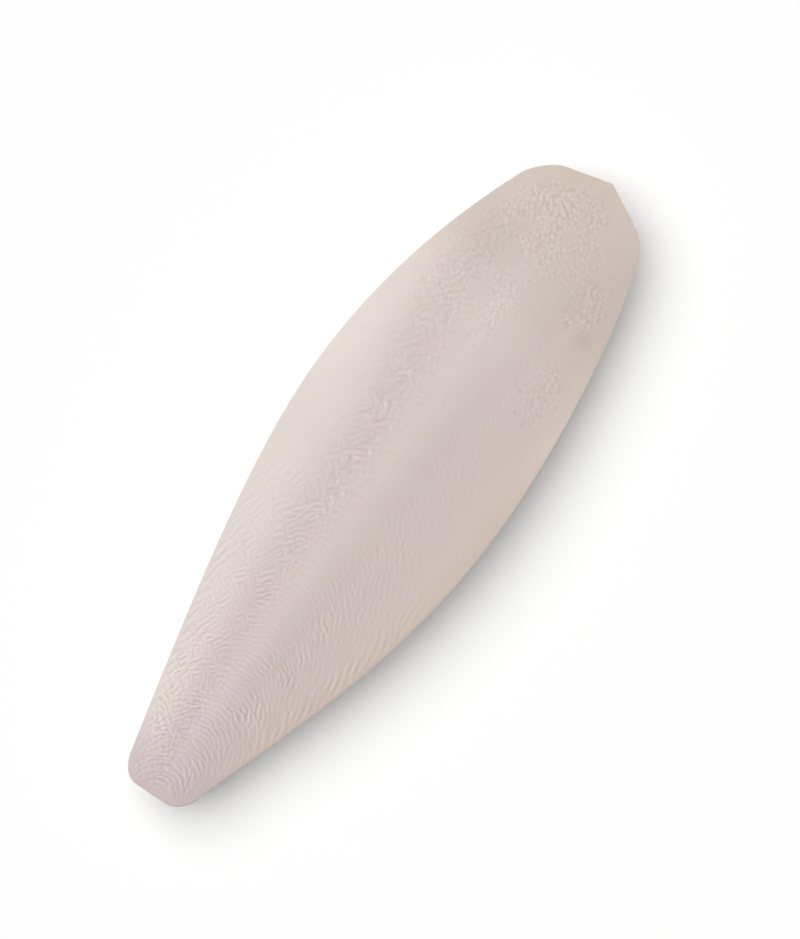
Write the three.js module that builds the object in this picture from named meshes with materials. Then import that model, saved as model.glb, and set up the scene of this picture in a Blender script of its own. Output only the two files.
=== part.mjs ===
// Cuttlebone: the chalky inner shell of a cuttlefish, grown as one piece and lying with its hard back up.
// Millimetres. +X runs from the narrow tail to the broad nose, +Y to the shell's left, +Z up.
// The origin is under the middle of the shell, on the surface that it rests on.
import * as THREE from "three";
import { mergeGeometries, mergeVertices } from "three/addons/utils/BufferGeometryUtils.js";

// Driving dimensions
const LENGTH = 150; // from the cut tail to the point of the nose
const HALF_BREADTH = 24.3; // at the widest, on either side
const CROWN = 4; // rise of the back above its rim
const BELLY = 11.4; // depth of the underside below its rim, before it is flattened where it rests
const RIM_HEIGHT = 11.3; // height of the rim above the resting surface, halfway along
const RIM_DROOP = 1.8; // how much lower the rim is at both ends, because the shell is bowed
const RIM_THICK = 1.4; // thickness of the margin
const TAIL_THICK = 3; // thickness of the blunt end where the tail is cut
const TAIL_RUN = 12; // length over which that end thins to the margin

// The back: a flat-topped crown with a low rib along its middle and a faint groove on either side of the rib.
// Places across it are shares of the way from the middle line to the rim, and spread apart towards the nose.
const CROWN_PEAK_X = 2;
const CROWN_REACH = 86; // how far from its peak it would fall to the rim
const CROWN_POWER = 2.2; // above 2, it stays high for longer and falls more steeply at its ends
const FLANK_START = 0.45; // where the flank begins to fall away
const FLANK_EASE = 0.25; // how softly it begins
const DOME_SHARE = 0.12; // share of the crown that is a plain dome
const RIB_HEIGHT = 0.22;
const RIB_REACH = 0.17;
const RIB_RISE = 50; // length over which the rib grows out of the tail
const RIB_FADE = [35, 8]; // how far short of the nose the rib begins to fade, and is gone
const GROOVE_DEPTH = 0.08;
const GROOVE_PLACE = 0.29;
const GROOVE_REACH = 0.09;
const NOSE_SPREAD = 1.7; // how much further out all of these lie near the nose
const NOSE_SPREAD_RUN = [67, 23]; // how far short of the nose they begin to spread, and are spread fully

// The underside: swollen behind the middle, with a low ledge where the last and largest chamber begins
const BELLY_PEAK_X = -8;
const BELLY_REACH = 88;
const BELLY_POWER = 2.4;
const BELLY_ROUND = 2.3; // the same across the shell: above 2, the belly is broad and its sides are steep
const LEDGE_HEIGHT = 0.5;
const LEDGE_X = 30; // where the ledge crosses the middle line
const LEDGE_SWEEP = 0.7; // how far back it runs for each millimetre out to the side
const LEDGE_WIDTH = 5;

// How finely the surface is divided
const ROWS = 64; // from the nose's point round to the middle of the tail, on either side
const BACK_COLUMNS = 13; // from the middle line to the rim
const BELLY_COLUMNS = 11;
const EDGE_CROWDING = 0.8; // 0 spaces the columns evenly, 1 crowds them most towards the rim
const RIM_ROUND = 0.8; // width of the margin's rounded edge
const NOSE_FAN = 14; // the middle line stops this far short of the nose's point
const TAIL_FAN = 7; // and this far short of the cut
const WELD = 1e-3; // vertices closer than this are one

const tail = -LENGTH / 2;
const nose = LENGTH / 2;

// The two sides of the outline, each drawn from the point of the nose round to the middle of the cut tail
const nosePoint = [nose, -2.2];
const tailMiddle = [tail + 0.1, 0.8];

function side(segments) {
  const path = new THREE.CurvePath();
  let from = nosePoint;
  for (const points of segments) {
    const ends = [from, ...points].map(([x, y]) => new THREE.Vector2(x, y));
    path.add(ends.length === 2 ? new THREE.LineCurve(...ends) : new THREE.CubicBezierCurve(...ends));
    from = points.at(-1);
  }
  return path;
}

const leftSide = side([
  [[nose - 2.6, 7]], // the nose's broad flat, on the left
  [[nose - 3.3, 9.5], [nose - 6.6, 12.8], [nose - 9, 13.7]], // its rounded shoulder
  [[52, 19.2], [34.6, HALF_BREADTH], [13.6, HALF_BREADTH]], // fore side, out to the widest place
  [[-6, HALF_BREADTH], [-30, 19], [tail + 4.5, 8.7]], // aft side
  [[tail + 1.6, 7.9], [tail, 6.1], [tail, 4.4]], // rounded corner of the tail
  [tailMiddle],
]);
const rightSide = side([
  [[nose - 0.5, -3.4]], // the nose's blunted point
  [[nose - 4.4, -11.1]], // its narrower flat, on the right
  [[nose - 5.3, -12.8], [nose - 7.1, -14.3], [nose - 9, -15.1]],
  [[53.5, -20.2], [25.8, -HALF_BREADTH], [6.9, -HALF_BREADTH]],
  [[-25.6, -HALF_BREADTH], [-50, -13.6], [tail + 4.5, -7.4]],
  [[tail + 2.5, -6.8], [tail + 0.7, -5.2], [tail + 0.3, -3.2]],
  [tailMiddle],
]);

const { clamp, lerp, smoothstep } = THREE.MathUtils;
const bell = (distance, width) => Math.exp(-((distance / width) ** 2));
const taper = (x, peak, reach, power) => 1 - Math.abs((x - peak) / reach) ** power;

// A straight fall from 0 at the middle to 1 at the rim that begins softly at a given share
function flankFall(share, start) {
  const hinge = (at) => (at - start + Math.hypot(at - start, FLANK_EASE)) / 2;
  return (hinge(share) - hinge(0)) / (hinge(1) - hinge(0));
}

const rimHeight = (x) => RIM_HEIGHT - RIM_DROOP * (x / nose) ** 2;

// Half the margin's thickness, rounded off towards the edge
function marginAt(x, fromEdge) {
  const thick = lerp(TAIL_THICK, RIM_THICK, smoothstep(x, tail, tail + TAIL_RUN));
  const inward = Math.min(fromEdge / RIM_ROUND, 1);
  return (thick / 2) * Math.sqrt(inward * (2 - inward));
}

// Height of the back's middle rib and its grooves, which fade out under the nose's smooth margin
function ribHeight(x, share) {
  const risen = smoothstep(x, tail, tail + RIB_RISE);
  const faded = smoothstep(x, nose - RIB_FADE[0], nose - RIB_FADE[1]);
  const groove = GROOVE_DEPTH * bell(share - GROOVE_PLACE, GROOVE_REACH);
  return risen * (1 - faded) * (RIB_HEIGHT * bell(share, RIB_REACH) - groove);
}

// Both faces are measured from the rim. share runs from 0 on the middle line to 1 at the rim.
function backHeight({ x, share, margin }) {
  const spreading = smoothstep(x, nose - NOSE_SPREAD_RUN[0], nose - NOSE_SPREAD_RUN[1]);
  const spread = lerp(1, NOSE_SPREAD, spreading);
  const crown = CROWN * taper(x, CROWN_PEAK_X, CROWN_REACH, CROWN_POWER);
  const fall = DOME_SHARE * share ** 2 + (1 - DOME_SHARE) * flankFall(share, FLANK_START * spread);
  return rimHeight(x) + margin + crown * (1 - fall) + ribHeight(x, share / spread);
}

function bellyHeight({ x, y, share, margin }) {
  const ledge = LEDGE_HEIGHT * smoothstep(x + LEDGE_SWEEP * Math.abs(y), LEDGE_X, LEDGE_X + LEDGE_WIDTH);
  const depth = BELLY * taper(x, BELLY_PEAK_X, BELLY_REACH, BELLY_POWER) - ledge;
  const height = rimHeight(x) - margin - depth * (1 - share ** BELLY_ROUND);
  return Math.max(height, 0); // the underside is worn flat where it rests
}

// One face of the shell: rays from the middle line out to both rims, and fanned out at the two ends
function face(columns, heightAt, facingUp) {
  const left = leftSide.getSpacedPoints(ROWS);
  const right = rightSide.getSpacedPoints(ROWS);
  const grid = new THREE.PlaneGeometry(1, 1, 2 * columns, ROWS);
  const places = grid.getAttribute("position");
  for (let row = 0; row <= ROWS; row++) {
    const middleX = clamp((left[row].x + right[row].x) / 2, tail + TAIL_FAN, nose - NOSE_FAN);
    const middle = new THREE.Vector2(middleX, 0);
    for (let column = -columns; column <= columns; column++) {
      const rim = column < 0 ? left[row] : right[row];
      const even = Math.abs(column) / columns;
      const share = lerp(even, Math.sin((even * Math.PI) / 2), EDGE_CROWDING);
      const { x, y } = middle.clone().lerp(rim, share);
      const margin = marginAt(x, (1 - share) * rim.distanceTo(middle));
      places.setXYZ(row * (2 * columns + 1) + columns + column, x, y, heightAt({ x, y, share, margin }));
    }
  }
  if (!facingUp) grid.setIndex([...grid.index.array].reverse());
  grid.deleteAttribute("normal");
  grid.deleteAttribute("uv");
  return grid;
}

// The two faces meet at the rim. Triangles that shrink to nothing where the rays fan out are dropped.
function weld(faces) {
  const solid = mergeVertices(mergeGeometries(faces), WELD);
  const corners = [];
  for (let at = 0; at < solid.index.count; at += 3) {
    const triangle = [...solid.index.array.slice(at, at + 3)];
    if (new Set(triangle).size === 3) corners.push(...triangle);
  }
  solid.setIndex(corners);
  solid.computeVertexNormals();
  return solid;
}

const shell = weld([face(BACK_COLUMNS, backHeight, true), face(BELLY_COLUMNS, bellyHeight, false)]);

const chalk = new THREE.MeshStandardMaterial({ color: "#d2c5bf", roughness: 0.75, metalness: 0 });
const cuttlebone = new THREE.Mesh(shell, chalk);
cuttlebone.name = "cuttlebone";

const part = new THREE.Group();
part.add(cuttlebone);

export default part;
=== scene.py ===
import math

import bpy
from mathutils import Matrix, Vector


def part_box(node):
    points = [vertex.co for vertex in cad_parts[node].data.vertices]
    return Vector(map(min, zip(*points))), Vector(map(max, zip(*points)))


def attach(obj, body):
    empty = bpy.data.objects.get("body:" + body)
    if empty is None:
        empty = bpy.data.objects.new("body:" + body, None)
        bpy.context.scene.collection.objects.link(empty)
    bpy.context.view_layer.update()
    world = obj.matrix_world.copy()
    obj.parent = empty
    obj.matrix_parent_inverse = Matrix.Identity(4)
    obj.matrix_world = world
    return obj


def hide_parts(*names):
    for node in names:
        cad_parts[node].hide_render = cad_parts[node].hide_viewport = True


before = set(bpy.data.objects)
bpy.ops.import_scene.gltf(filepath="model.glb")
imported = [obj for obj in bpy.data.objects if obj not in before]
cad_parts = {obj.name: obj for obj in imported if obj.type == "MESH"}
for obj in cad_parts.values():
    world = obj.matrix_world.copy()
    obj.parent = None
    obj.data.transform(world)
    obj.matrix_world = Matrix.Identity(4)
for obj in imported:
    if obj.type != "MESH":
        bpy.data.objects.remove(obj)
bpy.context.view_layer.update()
print("frame loaded:", sorted(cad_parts))

mm = 0.001
low, high = (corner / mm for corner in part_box("cuttlebone"))
nose = round((high.x - low.x) / 2, 1)  # half the length, so the nose is at +nose and the tail at -nose
halfBreadth = round((high.y - low.y) / 2, 1)
tail = -nose

calc = "ShaderNodeMath"
vec = "ShaderNodeVectorMath"
ramp = "ShaderNodeMapRange"
smooth = {"interpolation_type": "SMOOTHSTEP"}


# sRGB hex to the linear colour that shader sockets take
def linear(hexColour):
    parts = [int(hexColour[at:at + 2], 16) / 255 for at in (1, 3, 5)]
    return [p / 12.92 if p <= 0.04045 else ((p + 0.055) / 1.055) ** 2.4 for p in parts] + [1]


# adds a node, with its settings by name and its inputs in the order they show;
# a node given as an input stands for its first output
def add(tree, kind, *inputs, **settings):
    made = tree.nodes.new(kind)
    for name, value in settings.items():
        setattr(made, name, value)
    for socket, value in zip([s for s in made.inputs if s.enabled], inputs):
        if isinstance(value, bpy.types.Node):
            value = next(s for s in value.outputs if s.enabled)
        if isinstance(value, bpy.types.NodeSocket):
            tree.links.new(value, socket)
        elif value is not None:
            socket.default_value = value
    return made


# camera: straight above, turned so that the bone lies up to the right
camera = {
    "lens": 135,
    "fieldHeight": 184.0,  # mm of the bone's rim plane from the bottom of the picture to the top
    "overX": 5.2,
    "overY": -1.5,
    "turn": -54.0,
    "rimPlane": 10.6,
}


def setCamera():
    data = bpy.data.cameras.new("camera")
    data.lens = camera["lens"]
    data.clip_end = 50
    eye = bpy.data.objects.new("camera", data)
    distance = camera["fieldHeight"] * camera["lens"] / data.sensor_width
    eye.location = Vector((camera["overX"], camera["overY"], camera["rimPlane"] + distance)) * mm
    eye.rotation_euler = (0, 0, math.radians(camera["turn"]))
    bpy.context.scene.collection.objects.link(eye)
    bpy.context.scene.camera = eye


# light: one broad soft lamp from the bone's left, and an even pale surround that fills the shadows
light = {
    "keyStrength": 3.18,
    "keyHeight": 67,  # degrees above the floor
    "keyFrom": 84,  # degrees round from the nose
    "keySoftness": 72,  # degrees that the lamp spans
    "keyColour": "#ffffff",
    "surround": "#ffffff",
    "surroundStrength": 0.17,
}


def setLight():
    lamp = bpy.data.lights.new("key", "SUN")
    lamp.energy = light["keyStrength"]
    lamp.angle = math.radians(light["keySoftness"])
    lamp.color = linear(light["keyColour"])[:3]
    key = bpy.data.objects.new("key", lamp)
    key.rotation_euler = (math.radians(90 - light["keyHeight"]), 0, math.radians(light["keyFrom"] + 90))
    bpy.context.scene.collection.objects.link(key)
    world = bpy.data.worlds.new("studio")
    bpy.context.scene.world = world
    world.use_nodes = True
    background = world.node_tree.nodes["Background"]
    background.inputs["Color"].default_value = linear(light["surround"])
    background.inputs["Strength"].default_value = light["surroundStrength"]
    bpy.context.scene.view_settings.view_transform = "Standard"


# floor, in millimetres
floor = {
    "reach": 2000,
    "drop": 0.02,  # a hair below the resting face
    "colour": "#f3f3f3",
    "fibre": 0.4,
    "bumpStrength": 0.02,
    "bumpHeight": 0.02,
}


# matt card, smooth and slightly uneven: it takes a soft shadow and shows no shine
def mattCard():
    material = bpy.data.materials.new("matt white card")
    material.use_nodes = True
    tree = material.node_tree
    shader = tree.nodes["Principled BSDF"]
    shader.inputs["Base Color"].default_value = linear(floor["colour"])
    shader.inputs["Specular IOR Level"].default_value = 0.1
    shader.inputs["Roughness"].default_value = 0.9
    place = add(tree, "ShaderNodeTexCoord").outputs["Object"]
    fibre = add(tree, "ShaderNodeTexNoise", place, 1 / (floor["fibre"] * mm), 2.0)
    bump = add(tree, "ShaderNodeBump", floor["bumpStrength"], floor["bumpHeight"] * mm, None, fibre)
    tree.links.new(bump.outputs[0], shader.inputs["Normal"])
    return material


def makeFloor():
    reach = floor["reach"] * mm
    corners = [(-reach, -reach), (reach, -reach), (reach, reach), (-reach, reach)]
    card = bpy.data.meshes.new("floor")
    card.from_pydata([(x, y, -floor["drop"] * mm) for x, y in corners], [], [(0, 1, 2, 3)])
    card.materials.append(mattCard())
    made = bpy.data.objects.new("floor", card)
    bpy.context.scene.collection.objects.link(made)


setCamera()
setLight()
makeFloor()
print("camera, light and floor set")

# the bone, in millimetres; every entry is an input of the growing tree
bone = {
    "crown": 4.0,  # rise of the back above its rim
    "crownPeakX": 2.0,
    "crownReach": 86.0,
    "crownPower": 2.2,
    "flankStart": 0.45,  # shares run from 0 on the middle line to 1 at the rim
    "flankEase": 0.25,
    "domeShare": 0.12,
    "ribHeight": 0.22,
    "ribReach": 0.17,
    "grooveDepth": 0.08,
    "groovePlace": 0.29,
    "grooveReach": 0.09,
    "noseSpread": 1.7,  # how much further out rib, grooves and flanks lie near the nose
    "belly": 11.4,  # depth of the underside below the rim
    "bellyPeakX": -8.0,
    "bellyReach": 88.0,
    "bellyPower": 2.4,
    "bellyRound": 2.3,
    "ledgeHeight": 0.5,  # where the last chamber begins
    "ledgeX": 30.0,
    "ledgeSweep": 0.7,
    "ledgeWidth": 5.0,
    "rimHeight": 11.3,
    "rimDroop": 1.8,
    "rimThick": 1.4,
    "tailThick": 3.0,
    "rimRound": 0.3,
    "rimLip": 0.06,  # share of the margin's thickness above its edge line
    "noseFan": 14.0,  # the rays that carry the surface fan out round the ends of the middle line
    "tailFan": 7.0,
    "edgeCrowding": 0.25,
    "relief": 0.036,  # height of a full wrinkle above the surface
    "ridgePitch": 1.0,  # growth wrinkles on the tail, and wrinkles that cross them
    "ridgeSpread": 1.5,  # how much further apart they are halfway along
    "ridgeRun": 1.8,  # how far a wrinkle runs before it breaks
    "creasePitch": 1.3,  # longer creases inside the rim
    "creaseRun": 4.0,
    "pearlPitch": 2.6,  # round grains beside the rib
    "grainPitch": 1.05,  # granules near the nose and on the tail
    "striaPitch": 1.5,  # edges of the chamber walls on the underside
    "striaRun": 9.0,
    "striaBow": -0.03,
    "striaHeight": 0.09,
}
mesh = {
    "rows": 520,
    "backColumns": 78,
    "bellyColumns": 18,
    "weld": 0.002,
    "outlineSteps": 64,
    "rimShare": 0.9999,  # points further out than this are on the rim
}

# stretches along the bone, in mm from its middle, over which its form and wrinkles change
stretch = {
    "tailThins": (tail, tail + 12),
    "ribRises": (tail, tail + 50),
    "ribFades": (nose - 35, nose - 8),
    "noseSpreads": (nose - 67, nose - 23),
    "striaeBegin": (tail + 8, tail + 20),
    "arcsSweep": (-62, -12),
    "arcsFade": (-70, 12),
    "ridgesSpread": (-40, 15),
    "tailEnds": (-62, -36),
    "dashesBreak": (-62, -42),
    "dashesFade": (-15, 20),
    "weaveBegins": (-72, -58),
    "bandGrows": (-50, -12),
    "bandThins": (5, 35),
    "bandEnds": (50, 62),
    "flankFades": (-35, 12),
    "creasesBegin": (tail + 5, tail + 22),
    "creasesFade": (-32, 2),
    "pearlsBegin": (-50, -25),
    "pearlsEnd": (20, 40),
    "noseBares": (nose - 22, nose - 8),
    # where the painted light on the margin begins and ends
    "rightLightPainted": (8, 30),
    "leftLightPainted": (2, 20),
    "leftLightPaintedEnd": (40, 56),
}
# bands of wrinkles along the bone: the share at their middle, and how far they reach on either side
band = {"weave": (0.3, 0.2), "dashes": (0.4, 0.2), "creases": (0.9, 0.13), "pearls": (0.25, 0.1)}
# patches, in mm across, in which the wrinkles turn, fade, break and cross
patch = {"turn": 4.0, "fade": 6.0, "gather": 3.0, "break": 1.8, "cross": 2.1}
arcSwell = (-50.0, 12.0)  # mm: where the arcs are strongest, and how far that reaches on either side
reachIn = {"paintedLightRight": 4.0, "paintedLightLeft": 7.0, "edge": 3.5}  # mm in from the edge for the painted light on the right and on the left margin, and for the edge's tint
# how each family of wrinkles is drawn: how straight it runs, 1 at the most, and its waves' hollow and crest
family = {
    "arcs": (0.88, 0.38, 0.62),
    "weave": (0.85, 0.38, 0.62),
    "creases": (0.95, 0.38, 0.62),
    "grains": (0.35, 0.37, 0.63),
    "striae": (0.97, 0.34, 0.66),
}
lumpWave = (0.72, 0.12)  # distances from a granule's middle that are a full hollow and a full crest
pearlWave = (0.17, 0.06)
weaveTurn = 1.45  # radians from the wrinkles that the weave crosses
grainTurn = -0.9
elsewhere = (311.0, 77.0, 0.0)  # moves a pattern along, so that no two families share one

# both sides of the outline, from the point of the nose round to the middle of the cut tail:
# each entry is a point with the handle before it and the handle after it
nosePoint = ((nose, -2.2), (nose, -2.2), (nose, -2.2))
tailMiddle = ((tail + 0.1, 0.8), (tail + 0.1, 0.8), (tail + 0.1, 0.8))
leftOutline = [
    nosePoint,
    ((nose - 2.6, 7), (nose - 2.6, 7), (nose - 3.3, 9.5)),
    ((nose - 9, 13.7), (nose - 6.6, 12.8), (52, 19.2)),
    ((13.6, halfBreadth), (34.6, halfBreadth), (-6, halfBreadth)),
    ((tail + 4.5, 8.7), (-30, 19), (tail + 1.6, 7.9)),
    ((tail, 4.4), (tail, 6.1), (tail, 4.4)),
    tailMiddle,
]
rightOutline = [
    nosePoint,
    ((nose - 0.5, -3.4), (nose - 0.5, -3.4), (nose - 0.5, -3.4)),
    ((nose - 4.4, -11.1), (nose - 4.4, -11.1), (nose - 5.3, -12.8)),
    ((nose - 9, -15.1), (nose - 7.1, -14.3), (53.5, -20.2)),
    ((6.9, -halfBreadth), (25.8, -halfBreadth), (-25.6, -halfBreadth)),
    ((tail + 4.5, -7.4), (-50, -13.6), (tail + 2.5, -6.8)),
    ((tail + 0.3, -3.2), (tail + 0.7, -5.2), (tail + 0.3, -3.2)),
    tailMiddle,
]


def drawOutline():
    curve = bpy.data.curves.new("outline", "CURVE")
    curve.resolution_u = mesh["outlineSteps"]
    for points in (leftOutline, rightOutline):
        spline = curve.splines.new("BEZIER")
        spline.bezier_points.add(len(points) - 1)
        for point, (at, before, after) in zip(spline.bezier_points, points):
            point.handle_left_type = point.handle_right_type = "FREE"
            point.co, point.handle_left, point.handle_right = [(*p, 0) for p in (at, before, after)]
    return bpy.data.objects.new("outline", curve)


# where granules gather on the front of the back: x, y, their reach along and across, and their strength
grainPatches = [
    (43, 12, 11, 6, 0.65),
    (42, 2, 9, 4, 0.8),
    (66, 3, 8, 9, 1.2),
    (60, 11, 7, 5, 0.9),
    (33, -15, 7, 4, 0.8),
    (52, -13, 7, 4, 0.9),
    (57, 1, 6, 6, 1.0),
    (60, -6, 5, 4, 0.75),
]


# fields shared by both faces of the shell: a grid row is a ray from the middle line to the rim on either side
def rayFields(tree, outline, size):
    grid = add(tree, "ShaderNodeSeparateXYZ", add(tree, "GeometryNodeInputPosition"))
    fromNose = add(tree, calc, 0.5, grid.outputs["X"], operation="SUBTRACT")
    across = add(tree, calc, grid.outputs["Y"], 2.0, operation="MULTIPLY")
    left, right = [add(tree, "GeometryNodeSampleCurve", outline, None, fromNose, side).outputs["Position"]
                   for side in (0, 1)]
    halfway = add(tree, "ShaderNodeMix", 0.5, left, right, data_type="VECTOR")
    both = add(tree, "ShaderNodeSeparateXYZ", halfway)
    middleX = add(tree, "ShaderNodeClamp", both.outputs["X"],
                  add(tree, calc, size["tailFan"], tail, operation="ADD"),
                  add(tree, calc, nose, size["noseFan"], operation="SUBTRACT"))
    middle = add(tree, "ShaderNodeCombineXYZ", middleX)
    onLeft = add(tree, "FunctionNodeCompare", across, 0.0, operation="GREATER_THAN")
    rim = add(tree, "GeometryNodeSwitch", onLeft, right, left, input_type="VECTOR")
    even = add(tree, calc, across, operation="ABSOLUTE")
    crowded = add(tree, calc, add(tree, calc, even, math.pi / 2, operation="MULTIPLY"), operation="SINE")
    share = add(tree, "ShaderNodeMix", size["edgeCrowding"], even, crowded)
    place = add(tree, "ShaderNodeMix", share, middle, rim, data_type="VECTOR")
    rest = add(tree, calc, 1.0, share, operation="SUBTRACT")
    ray = add(tree, vec, middle, rim, operation="DISTANCE")
    fromEdge = add(tree, calc, rest, ray.outputs["Value"], operation="MULTIPLY")
    split = add(tree, "ShaderNodeSeparateXYZ", place)
    x, y = split.outputs["X"], split.outputs["Y"]
    return {"x": x, "y": y, "place": place, "share": share, "fromEdge": fromEdge}


# the rim's edge line, and how far the margin stands above it and hangs below it
def rimFields(tree, size, at):
    outX = add(tree, calc, add(tree, calc, at["x"], nose, operation="DIVIDE"), 2.0, operation="POWER")
    droop = product(tree, outX, size["rimDroop"])
    rimHeight = add(tree, calc, size["rimHeight"], droop, operation="SUBTRACT")
    thick = add(tree, ramp, at["x"], *stretch["tailThins"], size["tailThick"], size["rimThick"], **smooth)
    inward = add(tree, ramp, at["fromEdge"], 0.0, size["rimRound"])
    quarter = product(tree, inward, add(tree, calc, 2.0, inward, operation="SUBTRACT"))
    margin = product(tree, thick, add(tree, calc, quarter, operation="SQRT"))
    upper = product(tree, margin, size["rimLip"])
    lower = add(tree, calc, margin, upper, operation="SUBTRACT")
    lift = product(tree, thick, add(tree, calc, 0.5, size["rimLip"], operation="SUBTRACT"))
    return total(tree, rimHeight, lift), upper, lower


# 1 at its peak, falling away along the bone
def taper(tree, x, peak, reach, power):
    away = add(tree, calc, add(tree, calc, x, peak, operation="SUBTRACT"), reach, operation="DIVIDE")
    away = add(tree, calc, add(tree, calc, away, operation="ABSOLUTE"), power, operation="POWER")
    return add(tree, calc, 1.0, away, operation="SUBTRACT")


# 1 at a distance of 0, falling to nothing in a few reaches
def bell(tree, distance, reach):
    squared = add(tree, calc, add(tree, calc, distance, reach, operation="DIVIDE"), 2.0, operation="POWER")
    return add(tree, calc, add(tree, calc, squared, -1.0, operation="MULTIPLY"), operation="EXPONENT")


def inBand(tree, share, middle, reach):
    return bell(tree, add(tree, calc, share, middle, operation="SUBTRACT"), reach)


def product(tree, *factors):
    made = factors[0]
    for factor in factors[1:]:
        made = add(tree, calc, made, factor, operation="MULTIPLY")
    return made


def total(tree, *terms):
    made = terms[0]
    for term in terms[1:]:
        made = add(tree, calc, made, term, operation="ADD")
    return made


# the back's large form: crown, flanks, rib and grooves
def backForm(tree, size, at, rimHeight, margin):
    spread = add(tree, ramp, at["x"], *stretch["noseSpreads"], 1.0, size["noseSpread"], **smooth)
    start = product(tree, spread, size["flankStart"])
    hinges = []
    for share in (at["share"], 0.0, 1.0):
        past = add(tree, calc, share, start, operation="SUBTRACT")
        ease = add(tree, calc, size["flankEase"], 2.0, operation="POWER")
        bend = add(tree, calc, add(tree, calc, past, past, ease, operation="MULTIPLY_ADD"), operation="SQRT")
        hinges.append(total(tree, past, bend))
    fallen = add(tree, calc, hinges[0], hinges[1], operation="SUBTRACT")
    whole = add(tree, calc, hinges[2], hinges[1], operation="SUBTRACT")
    flank = add(tree, calc, fallen, whole, operation="DIVIDE")
    dome = product(tree, at["share"], at["share"])
    fall = add(tree, "ShaderNodeMix", size["domeShare"], flank, dome)
    crown = product(tree, size["crown"],
                    taper(tree, at["x"], size["crownPeakX"], size["crownReach"], size["crownPower"]),
                    add(tree, calc, 1.0, fall, operation="SUBTRACT"))
    share = add(tree, calc, at["share"], spread, operation="DIVIDE")
    at["across"] = product(tree, share, add(tree, calc, at["y"], operation="SIGN"))
    rib = product(tree, size["ribHeight"], bell(tree, share, size["ribReach"]))
    groove = product(tree, size["grooveDepth"], inBand(tree, share, size["groovePlace"], size["grooveReach"]))
    fade = product(tree, add(tree, ramp, at["x"], *stretch["ribRises"], **smooth),
                   add(tree, ramp, at["x"], *stretch["ribFades"], 1.0, 0.0, **smooth))
    relief = product(tree, fade, add(tree, calc, rib, groove, operation="SUBTRACT"))
    return total(tree, rimHeight, margin, crown, relief)


def ratio(tree, top, bottom):
    if isinstance(top, (int, float)) and isinstance(bottom, (int, float)):
        return top / bottom
    return add(tree, calc, top, bottom, operation="DIVIDE")


arcTurn = {
    "centre": tail - 5,  # the arcs are drawn round this place on the middle line
    "sweep": (3.2, 6.0),  # how strongly they sweep back, on the middle line and at the rim
    "sweepGrows": 2.3,  # and how many times as strongly further forward
    "wander": 0.5,  # radians
}


# which way the growth wrinkles run, as the turn of the line that crosses them: they are arcs round the tail
def wrinkleTurn(tree, at):
    fromTail = add(tree, calc, at["x"], arcTurn["centre"], operation="SUBTRACT")
    swept = product(tree, add(tree, ramp, at["share"], 0.0, 1.0, *arcTurn["sweep"]),
                    add(tree, ramp, at["x"], *stretch["arcsSweep"], 1.0, arcTurn["sweepGrows"], **smooth))
    turn = add(tree, calc, product(tree, at["y"], swept), fromTail, operation="ARCTAN2")
    noise = add(tree, "ShaderNodeTexNoise", at["place"], 1 / patch["turn"], 1.0)
    wander = add(tree, calc, noise, 0.5, operation="SUBTRACT")
    return total(tree, turn, product(tree, wander, arcTurn["wander"]))


# granules: sparse on the tail, thicker in their patches near the nose
def grainStrength(tree, at, onTail, gather):
    grains = product(tree, onTail, add(tree, ramp, at["y"], -1.0, 3.0, 0.25, 0.6, **smooth))
    raggedness = product(tree, add(tree, calc, gather, 0.5, operation="SUBTRACT"), 3.0)
    for x, y, along, aside, strength in grainPatches:
        away = add(tree, vec, at["place"], (x, y, 0.0), operation="SUBTRACT")
        away = add(tree, vec, away, (1 / along, 1 / aside, 0.0), operation="MULTIPLY")
        reach = add(tree, vec, away, operation="LENGTH").outputs["Value"]
        spot = add(tree, ramp, total(tree, reach, raggedness), 0.4, 1.3, 1.0, 0.0, **smooth)
        grains = add(tree, calc, grains, product(tree, spot, strength), operation="MAXIMUM")
    return grains


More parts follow.
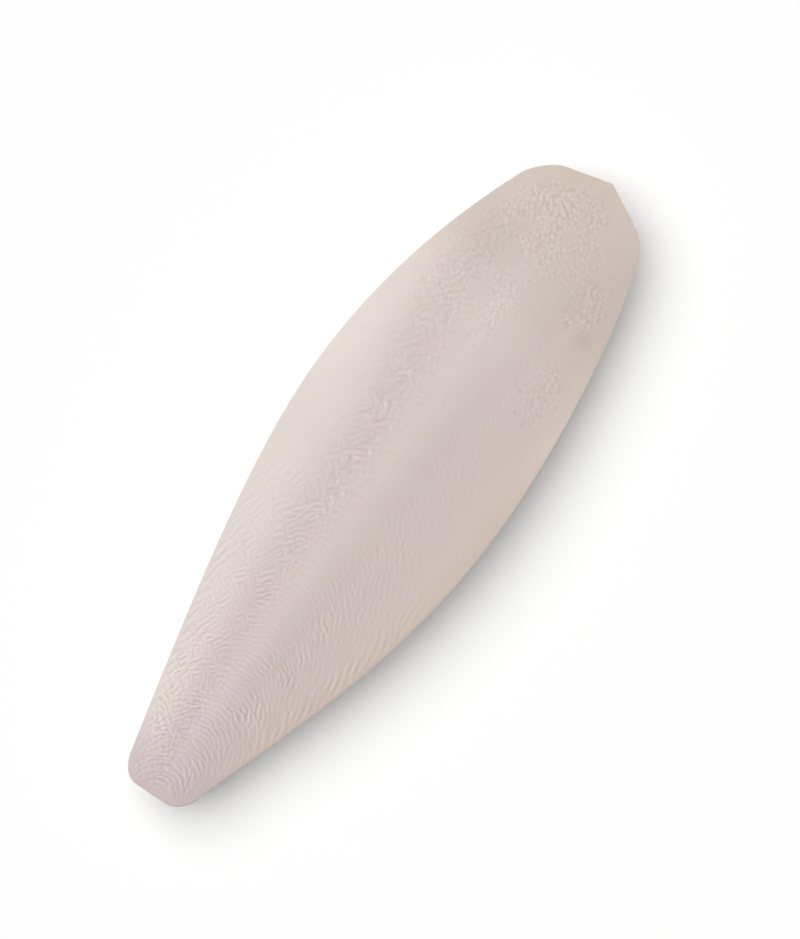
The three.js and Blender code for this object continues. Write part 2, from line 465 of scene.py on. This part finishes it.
# how strong each family of wrinkles is over the back; 1 is a full wrinkle
def wrinkleStrengths(tree, at):
    x, y, share, place = at["x"], at["y"], at["share"], at["place"]
    spreadShare = add(tree, calc, at["across"], operation="ABSOLUTE")
    onTail = add(tree, ramp, x, *stretch["tailEnds"], 1.0, 0.0, **smooth)
    fromTip = add(tree, ramp, x, *stretch["weaveBegins"], **smooth)
    toLeft = add(tree, ramp, y, -1.0, 2.5, **smooth)
    toRight = add(tree, ramp, y, 1.0, -3.0, **smooth)
    offRib = add(tree, ramp, share, 0.02, 0.2, **smooth)
    gather = add(tree, "ShaderNodeTexNoise", place, 1 / patch["gather"], 2.0)
    fading = add(tree, "ShaderNodeTexNoise", place, 1 / patch["fade"], 2.0)
    patchy = add(tree, ramp, fading, 0.35, 0.65, 0.55, 1.2)

    # on the right, the arcs break up into dashes
    breaking = add(tree, "ShaderNodeTexNoise", place, 1 / patch["break"], 1.0)
    dashed = product(tree, toRight, add(tree, ramp, x, *stretch["dashesBreak"], **smooth))
    broken = add(tree, "ShaderNodeMix", dashed, 1.0, add(tree, ramp, breaking, 0.36, 0.64, 0.3, 1.5))
    dashes = product(tree, toRight, inBand(tree, share, *band["dashes"]),
                     add(tree, ramp, x, *stretch["dashesFade"], 0.4, 0.14, **smooth))

    # on the left, wrinkles run one way or the other like a weave, and both ways at once beside the rib
    lattice = add(tree, "ShaderNodeTexVoronoi", place, 1 / patch["cross"], voronoi_dimensions="2D")
    oneWay = add(tree, ramp, lattice.outputs["Color"], 0.45, 0.55)
    crossed = add(tree, "ShaderNodeMix", add(tree, ramp, spreadShare, 0.2, 0.3, 1.0, 0.0), oneWay, 0.55)
    uncrossed = add(tree, calc, 1.0, product(tree, toLeft, fromTip, crossed), operation="SUBTRACT")
    leftBand = product(tree, toLeft, inBand(tree, spreadShare, *band["weave"]),
                       add(tree, ramp, x, *stretch["bandGrows"], 0.45, 0.85, **smooth),
                       add(tree, ramp, x, *stretch["bandThins"], 1.0, 0.6, **smooth),
                       add(tree, ramp, x, *stretch["bandEnds"], 1.0, 0.0, **smooth))
    leftFlank = product(tree, toLeft, add(tree, ramp, share, 0.4, 0.65, **smooth),
                        add(tree, ramp, x, *stretch["flankFades"], 0.5, 0.0, **smooth), fromTip)
    onLeft = total(tree, leftBand, leftFlank)
    weave = total(tree, product(tree, onLeft, crossed), product(tree, onTail, toLeft, 0.4))
    pearls = product(tree, toLeft, inBand(tree, spreadShare, *band["pearls"]),
                     add(tree, ramp, x, *stretch["pearlsBegin"], **smooth),
                     add(tree, ramp, x, *stretch["pearlsEnd"], 1.0, 0.0), add(tree, ramp, gather, 0.36, 0.46))

    # arcs: strongest behind, weaker over the rib and on the right flank
    alongTail = add(tree, "ShaderNodeMix", onTail, total(tree, 0.5, product(tree, offRib, 0.25)), 0.72)
    offFlank = add(tree, ramp, product(tree, share, toRight), 0.45, 0.75, 1.0, 0.4, **smooth)
    behind = total(tree, 1.0, product(tree, inBand(tree, x, *arcSwell), 0.4))
    toTail = add(tree, ramp, x, *stretch["arcsFade"], 1.0, 0.0, **smooth)
    arcs = total(tree, product(tree, toTail, alongTail, offFlank, behind), dashes, onLeft, 0.1)

    # the margin is bare, most of all at the nose, and only creases come close to the edge
    bare = add(tree, ramp, x, *stretch["noseBares"], 2.2, 5.0, **smooth)
    offRim = add(tree, ramp, at["fromEdge"], 0.4, bare, **smooth)
    nearRim = add(tree, ramp, at["fromEdge"], 0.1, 0.9, **smooth)
    creases = product(tree, inBand(tree, share, *band["creases"]),
                      add(tree, ramp, x, *stretch["creasesFade"], 1.0, 0.0, **smooth),
                      add(tree, ramp, x, *stretch["creasesBegin"], **smooth))
    grains = grainStrength(tree, at, onTail, gather)
    return {
        "arcs": product(tree, arcs, patchy, broken, uncrossed, offRim),
        "weave": product(tree, weave, patchy, offRim),
        "grains": product(tree, grains, 0.6, offRim),
        "lumps": product(tree, grains, 0.7, offRim),
        "pearls": product(tree, pearls, 2.0, offRim),
        "creases": product(tree, creases, patchy, nearRim, 0.8),
    }


# growth wrinkles: broken arcs, woven with wrinkles that cross them on the left, granules near the nose
# and on the tail, and longer creases inside the rim; 1 is a full wrinkle, -1 a full hollow
def wrinkles(tree, size, place, turn, strengths):
    shifted = add(tree, vec, place, elsewhere, operation="ADD")
    split = add(tree, "ShaderNodeSeparateXYZ", place)
    toFront = add(tree, ramp, split.outputs["X"], *stretch["ridgesSpread"], **smooth)
    toLeft = add(tree, ramp, split.outputs["Y"], -4, 4, 0.3, 1.0, **smooth)
    apart = add(tree, ramp, product(tree, toFront, toLeft), 0.0, 1.0, 1.0, size["ridgeSpread"])
    ridgeCells = ratio(tree, 1.0, size["ridgeRun"])
    ridgeWaves = ratio(tree, ratio(tree, size["ridgeRun"], size["ridgePitch"]), apart)
    creaseCells = ratio(tree, 1.0, size["creaseRun"])
    creaseWaves = ratio(tree, size["creaseRun"], size["creasePitch"])
    grainCells = ratio(tree, 0.75, size["grainPitch"])
    drawn = {
        "arcs": (place, ridgeCells, ridgeWaves, turn),
        "weave": (shifted, ridgeCells, ridgeWaves, total(tree, turn, weaveTurn)),
        "creases": (shifted, creaseCells, creaseWaves, turn),
        "grains": (shifted, grainCells, 1.33, grainTurn),
    }
    folds = []
    for name, (spot, cells, waves, direction) in drawn.items():
        straight, hollow, crest = family[name]
        wave = add(tree, "ShaderNodeTexGabor", spot, cells, waves, straight, direction)
        swing = add(tree, ramp, wave, hollow, crest, -1.0, 1.0, **smooth)
        folds.append(product(tree, swing, strengths[name]))
    lumps = add(tree, "ShaderNodeTexVoronoi", place, ratio(tree, 1.0, size["grainPitch"]),
                voronoi_dimensions="2D")
    pearls = add(tree, "ShaderNodeTexVoronoi", shifted, ratio(tree, 1.0, size["pearlPitch"]),
                 voronoi_dimensions="2D")
    swing = add(tree, ramp, lumps, *lumpWave, -1.0, 1.0, **smooth)
    folds.append(product(tree, swing, strengths["lumps"]))
    folds.append(product(tree, add(tree, ramp, pearls, *pearlWave), strengths["pearls"]))
    return total(tree, *folds)


# the underside: a swollen belly with the edges of the chamber walls across it, and a smooth last chamber
def bellyForm(tree, size, at, rimHeight, margin):
    aside = add(tree, calc, at["y"], operation="ABSOLUTE")
    swept = add(tree, calc, aside, size["ledgeSweep"], at["x"], operation="MULTIPLY_ADD")
    ledgeEnd = total(tree, size["ledgeX"], size["ledgeWidth"])
    ahead = add(tree, ramp, swept, size["ledgeX"], ledgeEnd, **smooth)
    ledge = product(tree, ahead, size["ledgeHeight"])
    along = taper(tree, at["x"], size["bellyPeakX"], size["bellyReach"], size["bellyPower"])
    depth = add(tree, calc, product(tree, size["belly"], along), ledge, operation="SUBTRACT")
    outward = add(tree, calc, at["share"], size["bellyRound"], operation="POWER")
    drop = product(tree, depth, add(tree, calc, 1.0, outward, operation="SUBTRACT"))

    cells = ratio(tree, 1.0, size["striaRun"])
    waves = ratio(tree, size["striaRun"], size["striaPitch"])
    bowed = add(tree, calc, product(tree, at["y"], size["striaBow"]), operation="ARCTANGENT")
    straight, hollow, crest = family["striae"]
    striae = add(tree, "ShaderNodeTexGabor", at["place"], cells, waves, straight, bowed)
    behind = product(tree, add(tree, calc, 1.0, ahead, operation="SUBTRACT"),
                     add(tree, ramp, at["x"], *stretch["striaeBegin"], **smooth),
                     add(tree, ramp, at["fromEdge"], 2.0, 6.0, **smooth))
    grooves = product(tree, add(tree, ramp, striae, hollow, crest, -1.0, 1.0), behind)

    height = add(tree, calc, rimHeight, margin, operation="SUBTRACT")
    height = add(tree, calc, height, drop, operation="SUBTRACT")
    height = total(tree, height, product(tree, grooves, size["striaHeight"]))
    return add(tree, calc, height, 0.0, operation="MAXIMUM"), grooves


# painted light: how much paler the margin is painted on the right and on the left, where its flattening rim
# would catch more light
def paintedLightOnMargin(tree, at):
    x, y, fromEdge = at["x"], at["y"], at["fromEdge"]
    onRight = product(tree, bell(tree, fromEdge, reachIn["paintedLightRight"]), add(tree, ramp, y, 0.0, -6.0),
                      add(tree, ramp, x, *stretch["rightLightPainted"], **smooth))
    onLeft = product(tree, bell(tree, fromEdge, reachIn["paintedLightLeft"]), add(tree, ramp, y, 0.0, 6.0, 0.0, 0.6),
                     add(tree, ramp, x, *stretch["leftLightPainted"], **smooth),
                     add(tree, ramp, x, *stretch["leftLightPaintedEnd"], 1.0, 0.0, **smooth))
    return total(tree, onLeft, onRight)


def growTree(material):
    tree = bpy.data.node_groups.new("grow cuttlebone", "GeometryNodeTree")
    tree.interface.new_socket("Outline", in_out="INPUT", socket_type="NodeSocketGeometry")
    sockets = {}
    for name in bone:
        sockets[name] = tree.interface.new_socket(name, in_out="INPUT", socket_type="NodeSocketFloat")
    tree.interface.new_socket("Bone", in_out="OUTPUT", socket_type="NodeSocketGeometry")
    start = add(tree, "NodeGroupInput")
    size = {name: start.outputs[name] for name in bone}
    at = rayFields(tree, start.outputs["Outline"], size)
    rimHeight, upper, lower = rimFields(tree, size, at)
    largeForm = backForm(tree, size, at, rimHeight, upper)
    turn = wrinkleTurn(tree, at)
    strengths = wrinkleStrengths(tree, at)
    folds = wrinkles(tree, size, at["place"], turn, strengths)
    backHeight = total(tree, largeForm, product(tree, folds, size["relief"]))
    bellyHeight, grooves = bellyForm(tree, size, at, rimHeight, lower)

    # marks that the chalk reads again
    marks = {
        # painted light along the margin
        "paintedMarginLight": paintedLightOnMargin(tree, at),
        "edge": bell(tree, at["fromEdge"], reachIn["edge"]),
        "rim": add(tree, calc, at["share"], mesh["rimShare"], operation="GREATER_THAN"),
        "turn": turn,
        "across": at["across"],
        "grooves": grooves,
        **strengths,
    }
    back = (mesh["backColumns"], backHeight, 1.0)
    belly = (mesh["bellyColumns"], bellyHeight, 0.0)
    faces = []
    for columns, height, isBack in (back, belly):
        made = add(tree, "GeometryNodeMeshGrid", 1.0, 1.0, mesh["rows"] + 1, 2 * columns + 1)
        for name, value in {**marks, "back": isBack}.items():
            made = add(tree, "GeometryNodeStoreNamedAttribute", made, None, name, value, domain="POINT")
        spot = add(tree, "ShaderNodeCombineXYZ", at["x"], at["y"], height)
        spot = add(tree, vec, spot, operation="SCALE")
        spot.inputs["Scale"].default_value = mm
        made = add(tree, "GeometryNodeSetPosition", made, None, spot)
        faces.append(made if isBack else add(tree, "GeometryNodeFlipFaces", made))
    shell = add(tree, "GeometryNodeJoinGeometry")
    for face in faces:
        tree.links.new(face.outputs[0], shell.inputs[0])
    shell = add(tree, "GeometryNodeMergeByDistance", shell, None, mesh["weld"] * mm)
    shell = add(tree, "GeometryNodeSetShadeSmooth", shell)
    onRim = add(tree, "GeometryNodeInputNamedAttribute", "rim")
    alongRim = add(tree, calc, onRim, 0.99, operation="GREATER_THAN")  # edges with both ends on the rim
    shell = add(tree, "GeometryNodeSetShadeSmooth", shell, alongRim, False, domain="EDGE")
    shell = add(tree, "GeometryNodeRealizeInstances", shell)
    shell = add(tree, "GeometryNodeSetMaterial", shell, None, material)
    add(tree, "NodeGroupOutput", shell)
    return tree, sockets


# aragonite of the shell's back, laid down in wrinkled layers and dried: chalky and shineless,
# lilac grey along the grooves, paler on flanks and wrinkles, tan towards the nose, white chalk below;
# part of the grooves' and hollows' darkness is painted shade, and part of the paler left flank,
# wrinkle crests and margins is painted light
chalk = {
    "across": [  # from the right rim over the middle line to the left rim; darker in the grooves beside the rib partly as painted shade, paler towards the left rim partly as painted light, with the chalk's own lilac, tan and cream
        (-1.0, "#cfc0b6"),
        (-0.8, "#d0c3bc"),
        (-0.6, "#ccbfba"),
        (-0.3, "#c4b8b4"),
        (-0.08, "#c8bdb9"),
        (0.05, "#c9bebb"),
        (0.28, "#c4b9b6"),
        (0.45, "#c6bbb8"),
        (0.65, "#cdc3c0"),
        (0.9, "#d0c7c3"),
    ],
    "ends": "#c8bdba",
    "noseBlend": (nose - 24, nose - 9),
    "tailBlend": (tail + 14, tail + 4),
    "margin": "#fffefb",  # tints the rim
    "along": [  # tints it from tail to nose
        (-75, "#faf8fb"),
        (-64, "#fcfafd"),
        (-54, "#fffdff"),
        (-42, "#fefcfd"),
        (-6, "#ffffff"),
        (30, "#ffffff"),
        (42, "#fefefc"),
        (52, "#fbfbf8"),
        (66, "#fcfaf5"),
        (75, "#fcf9f0"),
    ],
    "blotch": 6.0,  # mm
    "blotches": [(0.3, "#fffcfb"), (0.44, "#fefdff"), (0.56, "#fffffe"), (0.7, "#fffefa")],
    "paleness": 1.02,  # between wrinkles and hollows
    "wrinkleShadeAndDirt": 0.08,  # how much paler a full wrinkle is, and how much darker a full hollow: partly worn chalk on the crests and dirt in the hollows, partly painted light on the crests and painted shade in the hollows
    # painted light on the margin: how much paler it is at most
    "marginLightPainted": 0.1,
    "stain": "#b49a89",
    "stainSpot": (46.5, -16.0, 1.7, 0.25),  # x, y, reach in mm, amount
    "shade": "#f8f7f6",  # painted shade over the bare margin left of the nose
    "shadeSpot": (55.0, 16.0, 9.0, 1.0),
    "spotMottle": (0.35, 0.65, 0.4, 1.6),  # how the blotches thin and thicken both spots
    "paleSpots": [  # x, y, reach in mm, how much paler
        (38, 4, 9, 0.035),
        (36, -13, 11, 0.03),
        (58, 9, 7, 0.02),
        (-70, 4, 5, -0.03),
    ],
    "under": "#ece7dd",
    "grain": 0.3,  # mm, powdery grain between the wrinkles
    "bump": 0.02,
}


# a ladder of colours, from the value of its first stop to the value of its last
def stops(tree, value, colours):
    lowEnd, highEnd = colours[0][0], colours[-1][0]
    places = [(at - lowEnd) / (highEnd - lowEnd) for at, colour in colours]
    ladder = add(tree, "ShaderNodeValToRGB", add(tree, ramp, value, lowEnd, highEnd))
    for place in places[1:-1]:
        ladder.color_ramp.elements.new(place)
    for element, place, (at, colour) in zip(ladder.color_ramp.elements, places, colours):
        element.position = place
        element.color = linear(colour)
    return ladder.outputs["Color"]


def tint(tree, how, amount, under, over):
    under, over = [linear(c) if isinstance(c, str) else c for c in (under, over)]
    return add(tree, "ShaderNodeMix", amount, under, over, data_type="RGBA", blend_type=how).outputs[2]


def driedChalk():
    material = bpy.data.materials.new("dried aragonite chalk")
    material.use_nodes = True
    tree = material.node_tree
    shader = tree.nodes["Principled BSDF"]
    shader.inputs["Roughness"].default_value = 0.85
    shader.inputs["IOR"].default_value = 1.53
    shader.inputs["Specular IOR Level"].default_value = 0.2
    stored = ["paintedMarginLight", "edge", "turn", "across", "grooves", "back"]
    stored += ["arcs", "weave", "creases", "grains", "lumps", "pearls"]
    marks = {name: add(tree, "ShaderNodeAttribute", attribute_name=name).outputs["Fac"] for name in stored}
    place = add(tree, vec, add(tree, "ShaderNodeTexCoord").outputs["Object"], operation="SCALE")
    place.inputs["Scale"].default_value = 1 / mm
    split = add(tree, "ShaderNodeSeparateXYZ", place)
    flat = add(tree, "ShaderNodeCombineXYZ", split.outputs["X"], split.outputs["Y"])
    folds = wrinkles(tree, bone, flat, marks["turn"], marks)
    folds = add(tree, "ShaderNodeMix", marks["back"], marks["grooves"], folds)

    tone = stops(tree, marks["across"], chalk["across"])
    atNose = add(tree, ramp, split.outputs["X"], *chalk["noseBlend"], **smooth)
    atTail = add(tree, ramp, split.outputs["X"], *chalk["tailBlend"], **smooth)
    tone = tint(tree, "MIX", add(tree, calc, atNose, atTail, operation="MAXIMUM"), tone, chalk["ends"])
    tone = tint(tree, "MULTIPLY", 1.0, tone, stops(tree, split.outputs["X"], chalk["along"]))
    tone = tint(tree, "MULTIPLY", marks["edge"], tone, chalk["margin"])
    blotch = add(tree, "ShaderNodeTexNoise", place, 1 / chalk["blotch"], 4.0, 0.6)
    tone = tint(tree, "MULTIPLY", 1.0, tone, stops(tree, blotch, chalk["blotches"]))
    # painted shade over the bare margin left of the nose, and a real stain on the right
    for how, name in (("MULTIPLY", "shade"), ("MIX", "stain")):
        x, y, reach, amount = chalk[name + "Spot"]
        away = add(tree, vec, flat, (x, y, 0.0), operation="DISTANCE").outputs["Value"]
        mottled = add(tree, ramp, blotch, *chalk["spotMottle"])
        tone = tint(tree, how, product(tree, bell(tree, away, reach), amount, mottled), tone, chalk[name])
    tone = tint(tree, "MIX", marks["back"], chalk["under"], tone)

    # wrinkle crests paler and hollows darker: partly worn chalk and dirt, partly painted light and painted
    # shade
    darkest, palest = chalk["paleness"] - chalk["wrinkleShadeAndDirt"], chalk["paleness"] + chalk["wrinkleShadeAndDirt"]
    paler = add(tree, ramp, folds, -1.0, 1.0, darkest, palest, clamp=False)
    # painted light along the margin
    paler = total(tree, paler, product(tree, marks["paintedMarginLight"], chalk["marginLightPainted"]))
    for x, y, reach, amount in chalk["paleSpots"]:
        away = add(tree, vec, flat, (x, y, 0.0), operation="DISTANCE").outputs["Value"]
        paler = total(tree, paler, product(tree, bell(tree, away, reach), amount))
    tone = add(tree, vec, tone, operation="SCALE")
    tree.links.new(paler.outputs[0], tone.inputs["Scale"])
    tree.links.new(tone.outputs[0], shader.inputs["Base Color"])

    powder = add(tree, "ShaderNodeTexNoise", place, 1 / chalk["grain"], 2.0)
    bump = add(tree, "ShaderNodeBump", 1.0, chalk["bump"] * mm, None, powder)
    tree.links.new(bump.outputs[0], shader.inputs["Normal"])
    return material


def makeBone():
    outline = drawOutline()
    bpy.context.scene.collection.objects.link(outline)
    tree, sockets = growTree(driedChalk())
    grow = outline.modifiers.new("grow", "NODES")
    grow.node_group = tree
    for name, socket in sockets.items():
        grow[socket.identifier] = bone[name]
    grown = outline.evaluated_get(bpy.context.evaluated_depsgraph_get())
    made = bpy.data.objects.new("cuttlebone_shell", bpy.data.meshes.new_from_object(grown))
    bpy.data.objects.remove(outline)
    bpy.context.scene.collection.objects.link(made)
    made.data.name = "cuttlebone_shell"
    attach(made, "root")
    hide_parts("cuttlebone")
    return made


shell = makeBone()
triangles = sum(len(p.vertices) - 2 for p in shell.data.polygons)
print("bone grown:", len(shell.data.vertices), "vertices,", triangles, "triangles")
